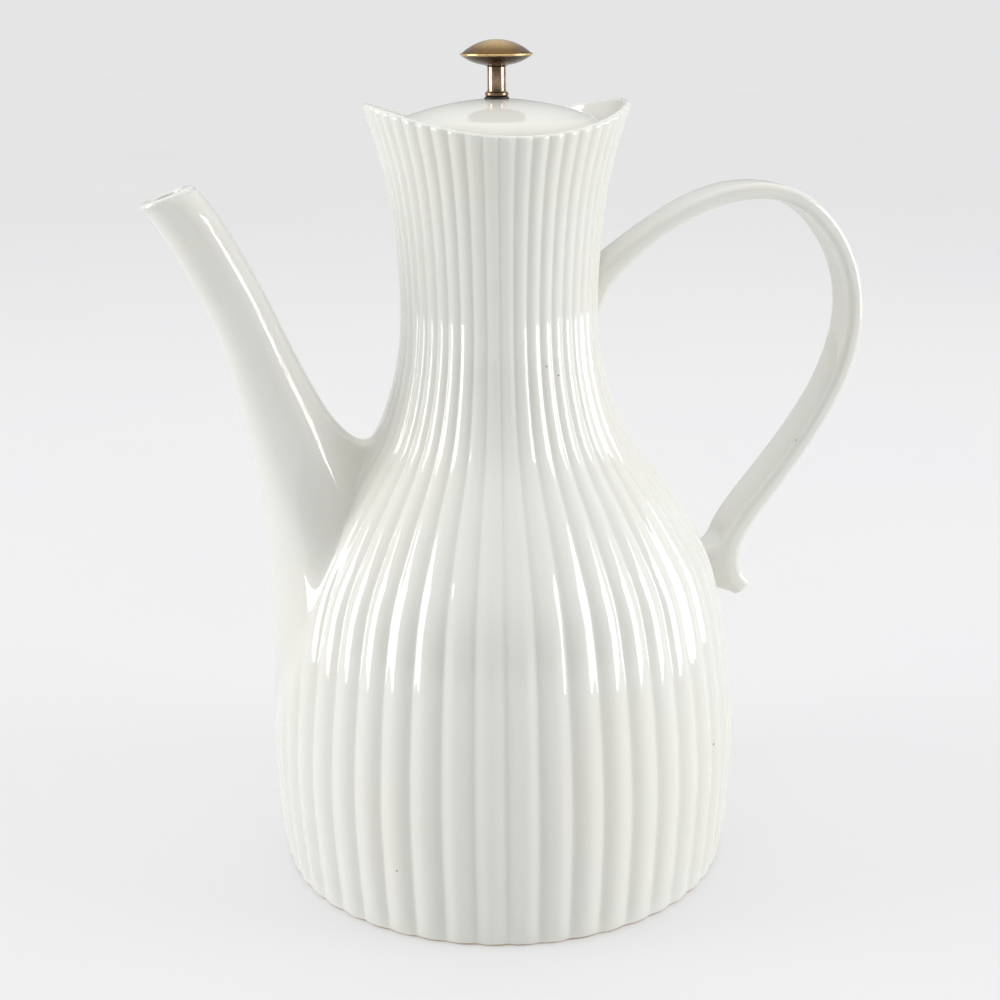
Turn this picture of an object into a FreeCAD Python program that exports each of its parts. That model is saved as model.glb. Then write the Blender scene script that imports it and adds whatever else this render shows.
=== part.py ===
import FreeCAD, Part
import math
import os

from FreeCAD import Vector

# A tall porcelain coffee pot: a reeded bottle-shaped body with a smooth spout on -X, a strap
# handle on +X, and a drop-in domed lid with a brass knob clamped on by a stud and nut.
# All sizes are in millimetres. The origin is the middle of the foot ring, on the table plane.

# ---- Body: radius over the reed crests at each height, from the foot to above the lip ----
CREST_PROFILE = [
    (-4.0, 77.4), (0.0, 78.2), (10.0, 79.9), (25.0, 81.2), (41.0, 82.0), (60.0, 81.2),
    (78.0, 79.1), (96.0, 75.7), (110.0, 71.4), (124.0, 63.3), (138.0, 53.6), (152.0, 43.8),
    (170.0, 36.6), (188.0, 33.5), (207.0, 33.5), (225.0, 34.9), (244.0, 38.1), (262.0, 43.4),
    (268.0, 45.6),
]
REED_COUNT = 48
REED_DEPTH_PER_PITCH = 0.12     # reed height over its valley, as a share of the reed's width
WALL = 3.4                      # wall behind the valleys
LIP_WALL = 1.9                  # thinner wall above the lid seat
FLOOR_TOP = 7.5
FOOT_RECESS_RADIUS = 66.0
FOOT_RECESS_DEPTH = 3.0
FLOOR_BEND_RADIUS = 60.0        # where the flat floor starts to turn up into the wall
FLOOR_BEND_TOP = 16.0
BEYOND = 120.0                  # half side of a block that is larger than the pot across

# ---- Saddle-shaped lip: high over the spout and the handle, low at the front and back ----
LIP_LOW = 255.0
LIP_HIGH = 263.3
LIP_REACH = 44.0

# ---- Lid seat inside the neck ----
SEAT_HEIGHT = 249.0
SEAT_RADIUS = 36.9
SEAT_BORE = 33.4
SEAT_THICKNESS = 5.0

# ---- Strainer holes through the wall behind the spout ----
STRAINER_X = -62.0
STRAINER_Z = 121.0
STRAINER_TILT = 33.0            # degrees the hole axes rise towards the outside
STRAINER_HOLE_RADIUS = 2.8
STRAINER_RING_RADIUS = 8.5
STRAINER_RING_COUNT = 6
STRAINER_DRILL_LENGTH = 40.0

# ---- Spout: elliptical sections as (x, z, lean in degrees, half length, half width) ----
SPOUT_SECTIONS = [
    (-60.0, 50.0, 0.0, 19.0, 22.0), (-60.0, 78.0, 0.0, 21.3, 28.0),
    (-60.0, 104.0, 0.0, 21.7, 29.0), (-61.0, 119.0, 3.0, 21.3, 25.5),
    (-63.5, 131.0, 7.0, 20.0, 20.0), (-67.0, 143.0, 13.0, 17.6, 16.8),
    (-71.0, 156.5, 19.0, 14.6, 14.4), (-77.9, 175.6, 20.0, 11.8, 11.8),
    (-85.3, 196.5, 23.0, 10.1, 10.1), (-93.4, 214.1, 28.0, 9.7, 9.6),
    (-101.9, 229.3, 35.0, 9.1, 9.0), (-109.5, 239.6, 38.0, 8.6, 8.5),
]
BORE_SECTIONS = [
    (-58.0, 96.0, 0.0, 14.0, 14.0), (-60.0, 106.0, 0.0, 15.0, 15.5),
    (-61.0, 119.0, 3.0, 15.0, 15.5), (-63.5, 131.0, 7.0, 14.5, 14.0),
    (-67.5, 143.0, 13.0, 12.0, 11.6), (-72.0, 158.0, 19.0, 9.6, 9.6),
    (-77.9, 175.6, 20.0, 8.0, 8.0), (-85.3, 196.5, 23.0, 6.4, 6.4),
    (-93.4, 214.1, 28.0, 5.8, 5.8), (-101.9, 229.3, 35.0, 5.0, 5.0),
    (-112.0, 242.8, 38.0, 4.7, 4.7),
]
MOUTH_X = -107.2
MOUTH_Z = 236.7
MOUTH_SLOPE = 19.4              # degrees the mouth's plane rises towards the body
MOUTH_CUT = 30.0                # half side and height of the block cut away past the mouth

# ---- Handle: strap sections as (x, z, direction in degrees, width across, thickness) ----
HANDLE_SECTIONS = [
    (28.0, 197.0, 38.0, 15.0, 23.0), (35.0, 200.8, 38.0, 16.0, 18.5),
    (41.5, 209.5, 42.0, 17.0, 8.5), (55.3, 220.8, 36.0, 17.0, 6.0),
    (72.4, 229.3, 20.0, 17.0, 5.5), (88.0, 231.9, -2.0, 17.0, 5.3),
    (103.5, 227.8, -32.0, 17.0, 5.2), (116.0, 216.5, -54.0, 17.0, 5.2),
    (123.6, 196.0, -83.0, 17.5, 5.2), (122.8, 178.0, -100.0, 18.0, 5.2),
    (116.5, 160.2, -115.0, 18.6, 5.2), (106.5, 144.3, -124.0, 19.2, 5.2),
    (94.8, 128.9, -128.0, 19.8, 5.3), (84.8, 113.5, -117.0, 20.2, 5.6),
    (82.5, 103.0, -95.0, 20.2, 6.6), (84.0, 95.0, -75.0, 19.5, 6.6),
    (87.2, 88.2, -60.0, 17.0, 4.4),
]
STRAP_CORNER_SPREAD = 0.72      # where the strap's corners start to round, as shares of its
STRAP_CORNER_THICKNESS = 0.9    # half width and half thickness
HANDLE_WEB = [(68.0, 110.0), (83.0, 111.0), (84.5, 100.0), (83.0, 91.5), (72.0, 91.5)]
HANDLE_WEB_WIDTH = 11.0

# ---- Lid: shallow dome that drops inside the lip, with a locating flange below ----
LID_TOP = 263.0
LID_RADIUS = 36.4
LID_EDGE_TOP = 252.4
LID_SHOULDER = (29.5, 258.7)
LID_SHOULDER_MID = (34.4, 255.7)
LID_DOME_MID = (16.0, 261.8)
LID_PAD_RADIUS = 4.6
LID_THICKNESS = 4.0
LID_UNDER_MID = (15.0, 258.0)
LID_UNDER_EDGE = (29.4, 254.2)
FLANGE_OUTER = 32.6
FLANGE_INNER = 29.4
FLANGE_BOTTOM = 240.0
LID_HOLE_RADIUS = 2.6
LID_PAD_CLEARANCE = 0.5         # around the cork washer, under the lid

# ---- Knob and its fasteners, stacked upwards and downwards from the lid ----
STUD_RADIUS = 2.0
RUNNING_CLEARANCE = 0.05
WASHER_HOLE_RADIUS = 2.2
TOP_WASHER_RADIUS = 4.0
TOP_WASHER_THICKNESS = 0.6
COLLAR_RADIUS = 3.85
COLLAR_HEIGHT = 1.7
COLLAR_BULGE = 0.5              # the collar's rounded side over its flat faces
COLLAR_STEP = 0.2
STEM_RADIUS = 3.0
STEM_TOP = 274.2
CAP_NECK_RADIUS = 3.9
CAP_RADIUS = 11.6
CAP_EDGE_LOW = 277.5
CAP_EDGE_HIGH = 278.2
CAP_TOP = 282.5
CAP_EDGE_BULGE = 0.3
CAP_UNDER_MID = (8.2, 275.5)
STUD_TOP = 279.0
STUD_END_GAP = 0.3
CORK_RADIUS = 6.5
CORK_THICKNESS = 1.2
FLAT_WASHER_RADIUS = 5.0
FLAT_WASHER_THICKNESS = 0.8
NUT_ACROSS_FLATS = 7.0
NUT_THICKNESS = 3.2
STUD_BELOW_NUT = 1.5


def crest_radius(height):
    """Radius over the reeds at a height, straight between the profile's points."""
    for (z0, r0), (z1, r1) in zip(CREST_PROFILE, CREST_PROFILE[1:]):
        if height <= z1:
            return r0 + (r1 - r0) * (height - z0) / (z1 - z0)
    return CREST_PROFILE[-1][1]


def valley_radius(crest):
    pitch = 2 * math.pi * crest / REED_COUNT
    return crest - REED_DEPTH_PER_PITCH * pitch


def reeded_ring(height, crest):
    """Closed wire of outward arcs that meet in sharp valleys. A crest faces the handle, on +X."""
    step = 2 * math.pi / REED_COUNT
    valley = valley_radius(crest)
    arcs = []
    for index in range(REED_COUNT):
        points = []
        for share, radius in ((0.0, valley), (0.5, crest), (1.0, valley)):
            angle = (index + share - 0.5) * step
            points.append(Vector(radius * math.cos(angle), radius * math.sin(angle), height))
        arcs.append(Part.Arc(*points).toShape())
    return Part.Wire(arcs)


def revolved(points, arcs=()):
    """Solid of revolution about Z from (radius, height) corners.

    arcs maps a corner's index to the point that the curve to the next corner passes through."""
    bends = dict(arcs)
    corners = [Vector(radius, 0, height) for radius, height in points]
    edges = []
    for index, start in enumerate(corners):
        end = corners[(index + 1) % len(corners)]
        if index in bends:
            middle = Vector(bends[index][0], 0, bends[index][1])
            edges.append(Part.Arc(start, middle, end).toShape())
        else:
            edges.append(Part.makeLine(start, end))
    face = Part.Face(Part.Wire(edges))
    return face.revolve(Vector(0, 0, 0), Vector(0, 0, 1), 360)


def smooth_profile_solid(pairs, closing):
    """Solid of revolution whose wall is one smooth curve through (height, radius) pairs."""
    curve = Part.BSplineCurve()
    curve.interpolate([Vector(radius, 0, height) for height, radius in pairs])
    wall = curve.toShape()
    corners = [wall.Vertexes[-1].Point]
    corners += [Vector(radius, 0, height) for radius, height in closing]
    corners += [wall.Vertexes[0].Point]
    lines = [Part.makeLine(a, b) for a, b in zip(corners, corners[1:])]
    face = Part.Face(Part.Wire([wall] + lines))
    return face.revolve(Vector(0, 0, 0), Vector(0, 0, 1), 360)


def rod(radius, low, high):
    return Part.makeCylinder(radius, high - low, Vector(0, 0, low))


def ring(inner, outer, low, high):
    return rod(outer, low, high).cut(rod(inner, low, high))


def ellipse_wire(x, z, lean, half_length, half_width):
    """Ellipse across the spout; its plane leans from level, and its length lies in the XZ plane."""
    lean = math.radians(lean)
    along = Vector(math.cos(lean), 0, math.sin(lean))
    normal = Vector(-math.sin(lean), 0, math.cos(lean))
    if half_length >= half_width:
        curve = Part.Ellipse(Vector(0, 0, 0), half_length, half_width)
        turn = FreeCAD.Rotation(along, Vector(0, 1, 0), normal, "ZXY")
    else:
        curve = Part.Ellipse(Vector(0, 0, 0), half_width, half_length)
        turn = FreeCAD.Rotation(Vector(0, 1, 0), along * -1, normal, "ZXY")
    wire = Part.Wire(curve.toShape())
    wire.Placement = FreeCAD.Placement(Vector(x, 0, z), turn)
    return wire


def strap_wire(x, z, direction, width, thickness):
    """Rounded flat section across the strap; the strap runs along direction in the XZ plane."""
    angle = math.radians(direction)
    across = Vector(-math.sin(angle), 0, math.cos(angle)) * (thickness / 2)
    side = Vector(0, width / 2, 0)
    centre = Vector(x, 0, z)
    corner_side = side * STRAP_CORNER_SPREAD
    corner_across = across * STRAP_CORNER_THICKNESS
    curve = Part.BSplineCurve()
    curve.interpolate([
        centre + side, centre + corner_side + corner_across, centre + across,
        centre - corner_side + corner_across, centre - side,
        centre - corner_side - corner_across, centre - across,
        centre + corner_side - corner_across,
    ], PeriodicFlag=True)
    return Part.Wire(curve.toShape())


def largest_solid(shape):
    return max(shape.Solids, key=lambda solid: solid.Volume)


def saddle_cutter():
    """Everything above the lip's saddle: an arc in XZ, drawn along Y."""
    reach = 2 * LIP_REACH
    rise = (LIP_HIGH - LIP_LOW) * (reach / LIP_REACH) ** 2
    top = LIP_LOW + rise + LIP_REACH
    curve = Part.BSplineCurve()
    stations = [-2.0, -1.5, -1.0, -0.5, 0.0, 0.5, 1.0, 1.5, 2.0]
    curve.interpolate([
        Vector(s * LIP_REACH, -reach, LIP_LOW + (LIP_HIGH - LIP_LOW) * s * s) for s in stations
    ])
    low = curve.toShape()
    left = Vector(-reach, -reach, LIP_LOW + rise)
    right = Vector(reach, -reach, LIP_LOW + rise)
    corners = [right, Vector(reach, -reach, top), Vector(-reach, -reach, top), left]
    lines = [Part.makeLine(a, b) for a, b in zip(corners, corners[1:])]
    return Part.Face(Part.Wire([low] + lines)).extrude(Vector(0, 2 * reach, 0))


def body_outside():
    rings = [reeded_ring(height, crest) for height, crest in CREST_PROFILE]
    solid = Part.makeLoft(rings, True, False)
    below_foot = Part.makeBox(2 * BEYOND, 2 * BEYOND, BEYOND, Vector(-BEYOND, -BEYOND, -BEYOND))
    return solid.cut(below_foot)


def body_inside():
    """The space inside the pot: chamber, neck, lid seat and open lip."""
    chamber = [(FLOOR_BEND_TOP, valley_radius(crest_radius(FLOOR_BEND_TOP)) - WALL)]
    for height, crest in CREST_PROFILE:
        if FLOOR_BEND_TOP < height < SEAT_HEIGHT - SEAT_THICKNESS:
            chamber.append((height, valley_radius(crest) - WALL))
    chamber.append((SEAT_HEIGHT - SEAT_THICKNESS, SEAT_BORE))
    hollow = smooth_profile_solid(chamber, [(0, SEAT_HEIGHT - SEAT_THICKNESS), (0, FLOOR_BEND_TOP)])
    bend_radius = valley_radius(crest_radius(FLOOR_BEND_TOP)) - WALL
    bend_share = 1 - math.sqrt(0.5)
    bend_middle = (
        bend_radius - bend_share * (bend_radius - FLOOR_BEND_RADIUS),
        FLOOR_TOP + bend_share * (FLOOR_BEND_TOP - FLOOR_TOP),
    )
    floor = revolved([
        (0, FLOOR_TOP), (FLOOR_BEND_RADIUS, FLOOR_TOP),
        (bend_radius, FLOOR_BEND_TOP), (0, FLOOR_BEND_TOP),
    ], [(1, bend_middle)])
    seat_bore = rod(SEAT_BORE, SEAT_HEIGHT - SEAT_THICKNESS, SEAT_HEIGHT)
    lip_top = CREST_PROFILE[-1][0] + 1.0
    mouth = revolved([
        (0, SEAT_HEIGHT), (SEAT_RADIUS, SEAT_HEIGHT),
        (valley_radius(crest_radius(LIP_HIGH)) - LIP_WALL, LIP_HIGH),
        (valley_radius(crest_radius(lip_top)) - LIP_WALL, lip_top), (0, lip_top),
    ])
    return hollow.fuse([floor, seat_bore, mouth])


def strainer_holes():
    tilt = math.radians(STRAINER_TILT)
    outward = Vector(-math.cos(tilt), 0, math.sin(tilt))
    up_wall = Vector(math.sin(tilt), 0, math.cos(tilt))
    centres = [Vector(STRAINER_X, 0, STRAINER_Z)]
    for index in range(STRAINER_RING_COUNT):
        angle = 2 * math.pi * index / STRAINER_RING_COUNT
        offset = up_wall * math.cos(angle) + Vector(0, math.sin(angle), 0)
        centres.append(centres[0] + offset * STRAINER_RING_RADIUS)
    inwards = outward * (STRAINER_DRILL_LENGTH / -2)
    return [
        Part.makeCylinder(STRAINER_HOLE_RADIUS, STRAINER_DRILL_LENGTH, centre + inwards, outward)
        for centre in centres
    ]


def pot_body(outside):
    foot_recess = rod(FOOT_RECESS_RADIUS, 0, FOOT_RECESS_DEPTH)
    return outside.cut([body_inside(), foot_recess, saddle_cutter()] + strainer_holes())


def spout(outside):
    horn = Part.makeLoft([ellipse_wire(*section) for section in SPOUT_SECTIONS], True, False)
    bore = Part.makeLoft([ellipse_wire(*section) for section in BORE_SECTIONS], True, False)
    beyond = Part.makeBox(2 * MOUTH_CUT, 2 * MOUTH_CUT, MOUTH_CUT, Vector(-MOUTH_CUT, -MOUTH_CUT, 0))
    beyond.rotate(Vector(0, 0, 0), Vector(0, 1, 0), -MOUTH_SLOPE)
    beyond.translate(Vector(MOUTH_X, 0, MOUTH_Z))
    return largest_solid(horn.cut([bore, outside, beyond]))


def handle(outside):
    strap = Part.makeLoft([strap_wire(*section) for section in HANDLE_SECTIONS], True, False)
    corners = [Vector(x, -HANDLE_WEB_WIDTH / 2, z) for x, z in HANDLE_WEB]
    web_side = Part.Face(Part.makePolygon(corners + corners[:1]))
    web = web_side.extrude(Vector(0, HANDLE_WEB_WIDTH, 0))
    return largest_solid(strap.fuse(web).cut(outside).removeSplitter())


def lid_shell():
    under_pad = LID_TOP - LID_THICKNESS
    return revolved([
        (LID_HOLE_RADIUS, LID_TOP), (LID_PAD_RADIUS, LID_TOP),
        LID_SHOULDER, (LID_RADIUS, LID_EDGE_TOP),
        (LID_RADIUS, SEAT_HEIGHT), (FLANGE_OUTER, SEAT_HEIGHT),
        (FLANGE_OUTER, FLANGE_BOTTOM), (FLANGE_INNER, FLANGE_BOTTOM),
        LID_UNDER_EDGE, (CORK_RADIUS + LID_PAD_CLEARANCE, under_pad),
        (LID_HOLE_RADIUS, under_pad),
    ], [(1, LID_DOME_MID), (2, LID_SHOULDER_MID), (8, LID_UNDER_MID)])


def knob_cap():
    rise = CAP_TOP - CAP_EDGE_HIGH
    sphere_radius = (CAP_RADIUS ** 2 + rise ** 2) / (2 * rise)
    half_way = CAP_RADIUS / 2
    half_way_height = CAP_TOP - sphere_radius + math.sqrt(sphere_radius ** 2 - half_way ** 2)
    solid = revolved([
        (0, STEM_TOP), (CAP_NECK_RADIUS, STEM_TOP), (CAP_RADIUS, CAP_EDGE_LOW),
        (CAP_RADIUS, CAP_EDGE_HIGH), (0, CAP_TOP),
    ], [
        (1, CAP_UNDER_MID),
        (2, (CAP_RADIUS + CAP_EDGE_BULGE, (CAP_EDGE_LOW + CAP_EDGE_HIGH) / 2)),
        (3, (half_way, half_way_height)),
    ])
    return solid.cut(rod(STUD_RADIUS + RUNNING_CLEARANCE, STEM_TOP, STUD_TOP + STUD_END_GAP))


def knob_stem():
    """Sleeve with a rounded foot collar, clamped between the cap and the lid."""
    foot = LID_TOP + TOP_WASHER_THICKNESS
    bore = STUD_RADIUS + RUNNING_CLEARANCE
    collar_face = COLLAR_RADIUS - COLLAR_BULGE
    collar_top = foot + COLLAR_HEIGHT
    return revolved([
        (bore, foot), (collar_face, foot), (collar_face, collar_top),
        (STEM_RADIUS, collar_top + COLLAR_STEP), (STEM_RADIUS, STEM_TOP), (bore, STEM_TOP),
    ], [(1, (COLLAR_RADIUS, foot + COLLAR_HEIGHT / 2))])


def hexagon_nut(low):
    corner = NUT_ACROSS_FLATS / math.sqrt(3)
    corners = []
    for index in range(7):
        angle = index * math.pi / 3
        corners.append(Vector(corner * math.cos(angle), corner * math.sin(angle), low))
    hexagon = Part.Face(Part.makePolygon(corners)).extrude(Vector(0, 0, NUT_THICKNESS))
    return hexagon.cut(rod(STUD_RADIUS + RUNNING_CLEARANCE, low, low + NUT_THICKNESS))


def lid_stack():
    """Washers and nut under the lid, top to bottom, and the stud through everything."""
    under_pad = LID_TOP - LID_THICKNESS
    cork_bottom = under_pad - CORK_THICKNESS
    flat_bottom = cork_bottom - FLAT_WASHER_THICKNESS
    nut_bottom = flat_bottom - NUT_THICKNESS
    stud_bottom = nut_bottom - STUD_BELOW_NUT
    washer_top = LID_TOP + TOP_WASHER_THICKNESS
    return {
        "knob_washer": ring(WASHER_HOLE_RADIUS, TOP_WASHER_RADIUS, LID_TOP, washer_top),
        "lid_cork_washer": ring(WASHER_HOLE_RADIUS, CORK_RADIUS, cork_bottom, under_pad),
        "lid_flat_washer": ring(WASHER_HOLE_RADIUS, FLAT_WASHER_RADIUS, flat_bottom, cork_bottom),
        "lid_nut": hexagon_nut(nut_bottom),
        "knob_stud": rod(STUD_RADIUS, stud_bottom, STUD_TOP),
    }


def main():
    outside = body_outside()
    pieces = {
        "pot_body": pot_body(outside),
        "spout": spout(outside),
        "handle": handle(outside),
        "lid_shell": lid_shell(),
        "knob_cap": knob_cap(),
        "knob_stem": knob_stem(),
    }
    pieces.update(lid_stack())
    os.makedirs("parts", exist_ok=True)
    for name, shape in pieces.items():
        shape.exportStep("parts/" + name + ".step")
        print(name, "solids", len(shape.Solids), "valid", shape.isValid())


main()
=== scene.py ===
import math

import bpy
import numpy as np
from mathutils import Matrix, Vector


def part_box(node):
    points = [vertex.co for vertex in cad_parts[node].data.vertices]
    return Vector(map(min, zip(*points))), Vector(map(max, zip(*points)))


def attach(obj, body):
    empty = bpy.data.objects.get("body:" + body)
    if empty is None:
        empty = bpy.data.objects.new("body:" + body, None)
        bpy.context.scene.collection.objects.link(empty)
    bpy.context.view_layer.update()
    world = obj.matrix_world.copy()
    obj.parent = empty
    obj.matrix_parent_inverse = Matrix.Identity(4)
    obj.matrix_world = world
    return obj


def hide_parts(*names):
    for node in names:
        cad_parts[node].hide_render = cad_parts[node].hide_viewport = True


# A tall reeded porcelain coffee pot. Lengths below are millimetres in the frame's own axes:
# the origin is the middle of the foot, +Z up, the spout on -X and the handle on +X.
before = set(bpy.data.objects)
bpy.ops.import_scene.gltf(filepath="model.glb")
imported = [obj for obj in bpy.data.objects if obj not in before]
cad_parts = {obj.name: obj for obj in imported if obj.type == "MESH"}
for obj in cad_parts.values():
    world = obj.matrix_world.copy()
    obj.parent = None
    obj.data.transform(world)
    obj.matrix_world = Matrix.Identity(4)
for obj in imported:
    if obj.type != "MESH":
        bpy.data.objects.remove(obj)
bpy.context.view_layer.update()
MM = 0.001


def node_low(node):
    return np.array(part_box(node)[0]) / MM


def node_high(node):
    return np.array(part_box(node)[1]) / MM


# ---- Body ----
CREST_PROFILE = [
    (-4.0, 77.4), (0.0, 78.2), (10.0, 79.9), (25.0, 81.2), (41.0, 82.0), (60.0, 81.2),
    (78.0, 79.1), (96.0, 75.7), (110.0, 71.4), (124.0, 63.3), (138.0, 53.6), (152.0, 43.8),
    (170.0, 36.6), (188.0, 33.5), (207.0, 33.5), (225.0, 34.9), (244.0, 38.1), (262.0, 43.4),
    (268.0, 45.2),
]
REED_COUNT = 48
REED_SAMPLES = 14
REED_DEPTH_PER_PITCH = 0.12
VALLEY_ROUNDING = 0.08          # share of a reed's width over which its valley is rounded
ROW_STEP = 1.5
WALL = 3.4
LIP_WALL = 1.9
LIP_ROWS = 9
LIP_HIGH = node_high("pot_body")[2]
LIP_LOW = 255.0
LIP_REACH = 44.0                # distance along X at which the lip is LIP_HIGH
LIP_WARP_START = 196.0          # rows above this height bend to follow the saddle of the lip
SEAT_HEIGHT = 249.0
SEAT_RADIUS = 36.9
SEAT_BORE = 33.4
SEAT_THICKNESS = 5.0
SEAT_EDGE_RISE = 1.5            # the wall above the seat starts this far over it
SEAT_ROUND = 0.8
SEAT_BORE_ROUND = 0.6
INSIDE_STEP = 6.0               # spacing of the rings down the plain inside
FLOOR_RINGS = (30.0, 8.0)
FLOOR_TOP = 7.5
FLOOR_BEND_RADIUS = 60.0
FLOOR_BEND_TOP = 16.0
FLOOR_BEND_STEPS = 6
FOOT_RECESS_RADIUS = 66.0
FOOT_RECESS_DEPTH = 3.0
FOOT_RING_MIDDLE = 72.0
FOOT_EDGE = 1.2                 # rounding of the foot's outer edge
FOOT_EDGE_STEPS = 6
FOOT_REED_SHARE = 0.45          # how deep the reeds still are at the very foot
FOOT_REED_RISE = 8.0            # height at which they have their full depth

# ---- Spout: the smooth root's outline on the body as (degrees from -X, height), top to bottom ----
ROOT_OUTLINE = [
    (0.0, 160.5), (4.2, 157.0), (6.8, 150.5), (12.9, 140.0), (18.0, 130.0), (21.8, 119.0),
    (22.3, 110.0), (20.5, 100.0), (16.5, 89.0), (11.5, 78.0), (6.0, 68.0), (0.0, 58.0),
]
ROOT_CURVE_POINTS = 400
ROOT_SINK = 0.7                 # the body passes this far under the spout's smooth root
ROOT_SINK_REACH = 2.5           # and gets there over this distance from the outline
ROOT_FADE_TOP = 4.0             # reeds fade in over this distance beside the root's top
ROOT_FADE_BOTTOM = 16.0
ROOT_FADE_HEIGHTS = (70.0, 120.0)
ROOT_NEAR_TURN = math.radians(50.0)
ROOT_LEAVE_TOP = 16.5           # how far the root carries on in the tube's direction
ROOT_LEAVE_BOTTOM = 24.0
ROOT_ARRIVE_TOP = 16.0          # how far it climbs the neck before its edge, at the top
ROOT_ARRIVE_ASIDE = 0.85        # how far it spreads beside the top, as a share of the edge's offset
ROOT_ARRIVE_BELOW = (0.2, 0.4)  # how far it runs down the body, as a share of its length, side and keel
ROOT_TURN = (0.12, 0.47)        # shares of the way round over which it turns from aside to down
ROOT_TOP_SHARE = 0.22           # share of the way round over which the climb up the neck ends
ROOT_KEEL_SHARE = 0.75          # share of the way round at which the keel begins
ROOT_EVEN = 0.6                 # how evenly the flow lines are spread along the outline
ROOT_BUNCHING = 3               # power that gathers the others near its top
ROOT_ROWS = 48
SKIRT_REACH = 0.6               # the root's edge runs on just under the body's surface
SKIRT_DROP = 0.05
TUCK_REACH = 0.9                # and then turns in under the surface
TUCK_DEPTH = 0.9
HOLLOW_INSET = 1.0              # the hollow's edge lies this much further in than the wall alone
HOLLOW_DEPTH = 1.6
TUBE_SECTIONS = [               # (x, z, tilt in degrees, half length, half width)
    (-74.4, 165.7, 20.0, 13.0, 13.0), (-77.9, 175.6, 20.0, 11.8, 11.8),
    (-85.3, 196.5, 23.0, 10.1, 10.1), (-93.4, 214.1, 27.0, 9.7, 9.6),
    (-101.9, 229.3, 27.0, 9.2, 9.0), (-107.2, 236.7, 19.4, 9.0, 8.6),
]
TUBE_COLUMNS = 96
TUBE_ROWS = 46
SPOUT_WALL = 3.3
MOUTH_HOLE = 4.7
MOUTH_ROUND = 1.6
MOUTH_STEPS = 12
MOUTH_SIDE_POWER = 0.7          # below 1 makes the lip's section squarer
MOUTH_LIFT_POWER = 0.8
BORE_OPENING = 0.12             # the bore may widen this much per ring below the mouth

# ---- Handle: strap sections as (x, z, width across, thickness), from the neck to the tail ----
HANDLE_PATH = [
    (28.0, 196.6, 15.0, 22.0), (31.0, 198.0, 15.5, 18.0), (34.6, 204.2, 16.3, 9.8),
    (39.2, 209.2, 16.8, 7.2), (45.4, 214.4, 17.0, 5.9), (55.3, 221.2, 17.0, 5.3),
    (72.4, 229.5, 17.0, 5.3), (88.0, 232.1, 17.0, 5.3), (103.8, 228.3, 17.0, 5.2),
    (113.2, 220.7, 17.2, 5.2), (120.4, 210.0, 17.3, 5.1), (125.1, 193.0, 17.5, 5.0),
    (122.6, 172.6, 18.2, 5.1), (111.3, 149.6, 19.0, 5.3), (95.6, 128.3, 19.8, 5.6),
    (85.2, 114.2, 20.2, 6.2), (82.3, 108.0, 20.2, 6.8), (81.8, 101.2, 19.8, 7.3),
    (83.7, 95.2, 19.2, 7.7), (86.5, 91.8, 18.4, 7.8),
]
HANDLE_SQUARE_AT = 31.0         # the strap is upright inside the wall and square to its run further out
HANDLE_SQUARE_REACH = 11.0
HANDLE_HALFWAY = 150.0          # height between the strap's two ends
HANDLE_RUN_STEP = 0.3           # distance over which its direction is taken
HANDLE_WALL_SHARE = 0.7         # share of the wall's thickness that the strap may reach into
HANDLE_ROWS = 240
STRAP_CORNER = 0.36             # corner radius of the strap as a share of its thickness
STRAP_CORNER_STEPS = 6
STRAP_FACE_STEPS = 10
STRAP_CROWN = 0.4               # how far the outer face bulges
STRAP_HOLLOW = 0.8              # how far the inner face is hollowed
STRAP_EDGE_CROWN = 0.25         # how far the narrow sides bulge
HANDLE_WEB_DEPTH = 12.0         # the tail's inner side runs on into the body
HANDLE_WEB_TOP = 109.0
HANDLE_WEB_FADE = 6.0
HANDLE_WEB_HALF = 7.0
HANDLE_WEB_CLEAR = 4.5          # the last of the strap stands clear of the body
HANDLE_END_ROWS = 6
HANDLE_END_ROUND = 1.0


def natural_spline(knots, values):
    """Smooth curve through rows of values at rising knots, as a function of the knot variable."""
    knots = np.asarray(knots, float)
    values = np.asarray(values, float)
    count = len(knots)
    gaps = np.diff(knots)
    slopes = np.diff(values, axis=0) / gaps[:, None]
    system = np.eye(count)
    right = np.zeros_like(values)
    for i in range(1, count - 1):
        system[i, i - 1:i + 2] = gaps[i - 1], 2 * (gaps[i - 1] + gaps[i]), gaps[i]
        right[i] = 6 * (slopes[i] - slopes[i - 1])
    bends = np.linalg.solve(system, right)

    def curve(at):
        at = np.atleast_1d(np.asarray(at, float))
        cell = np.clip(np.searchsorted(knots, at, side="right") - 1, 0, count - 2)
        gap = gaps[cell][:, None]
        after = (at - knots[cell])[:, None]
        before = gap - after
        cubic = (bends[cell] * before ** 3 + bends[cell + 1] * after ** 3) / (6 * gap)
        start = (values[cell] / gap - bends[cell] * gap / 6) * before
        end = (values[cell + 1] / gap - bends[cell + 1] * gap / 6) * after
        return cubic + start + end

    return curve


def chord_lengths(points):
    steps = np.linalg.norm(np.diff(np.asarray(points, float), axis=0), axis=1)
    return np.concatenate([[0.0], np.cumsum(steps)])


def smoothstep(x):
    x = np.clip(x, 0.0, 1.0)
    return x * x * (3 - 2 * x)


_crest = natural_spline([z for z, _ in CREST_PROFILE], [[r] for _, r in CREST_PROFILE])


def crest_radius(height):
    height = np.asarray(height, float)
    return _crest(height.ravel())[:, 0].reshape(height.shape)


def crest_slope(height):
    return crest_radius(height + 0.5) - crest_radius(height - 0.5)


def reed_depth(crest):
    return REED_DEPTH_PER_PITCH * 2 * math.pi * crest / REED_COUNT


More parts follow.
